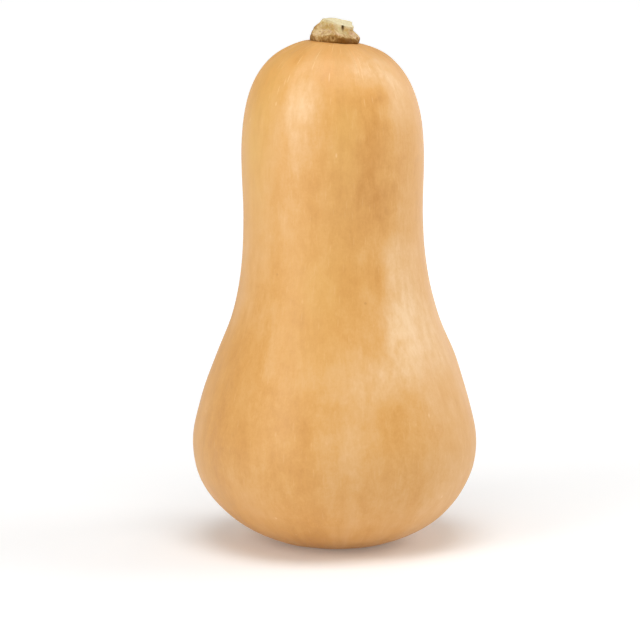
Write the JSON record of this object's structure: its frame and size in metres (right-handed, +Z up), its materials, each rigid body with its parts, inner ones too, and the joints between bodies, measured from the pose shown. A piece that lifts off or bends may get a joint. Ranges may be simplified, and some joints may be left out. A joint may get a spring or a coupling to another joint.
{
  "type": "butternut squash",
  "caption": "Whole butternut squash standing on its blossom end: pear-shaped tan fruit with a long round neck, a wide seed bulb and a short cut woody stem.",
  "frame": {"origin": "on the ground, under the middle of the fruit", "axes": "+Z up from the blossom end to the stem, -Y the front that faces the viewer, +X to that viewer's right"},
  "size_m": [0.1331, 0.1324, 0.245],
  "materials": {
    "rind": "satin, waxy",
    "stalk": "dry, rough, unfinished"
  },
  "bodies": {
    "root": {"fruit": "rind", "stem": "stalk"}
  },
  "joints": []
}
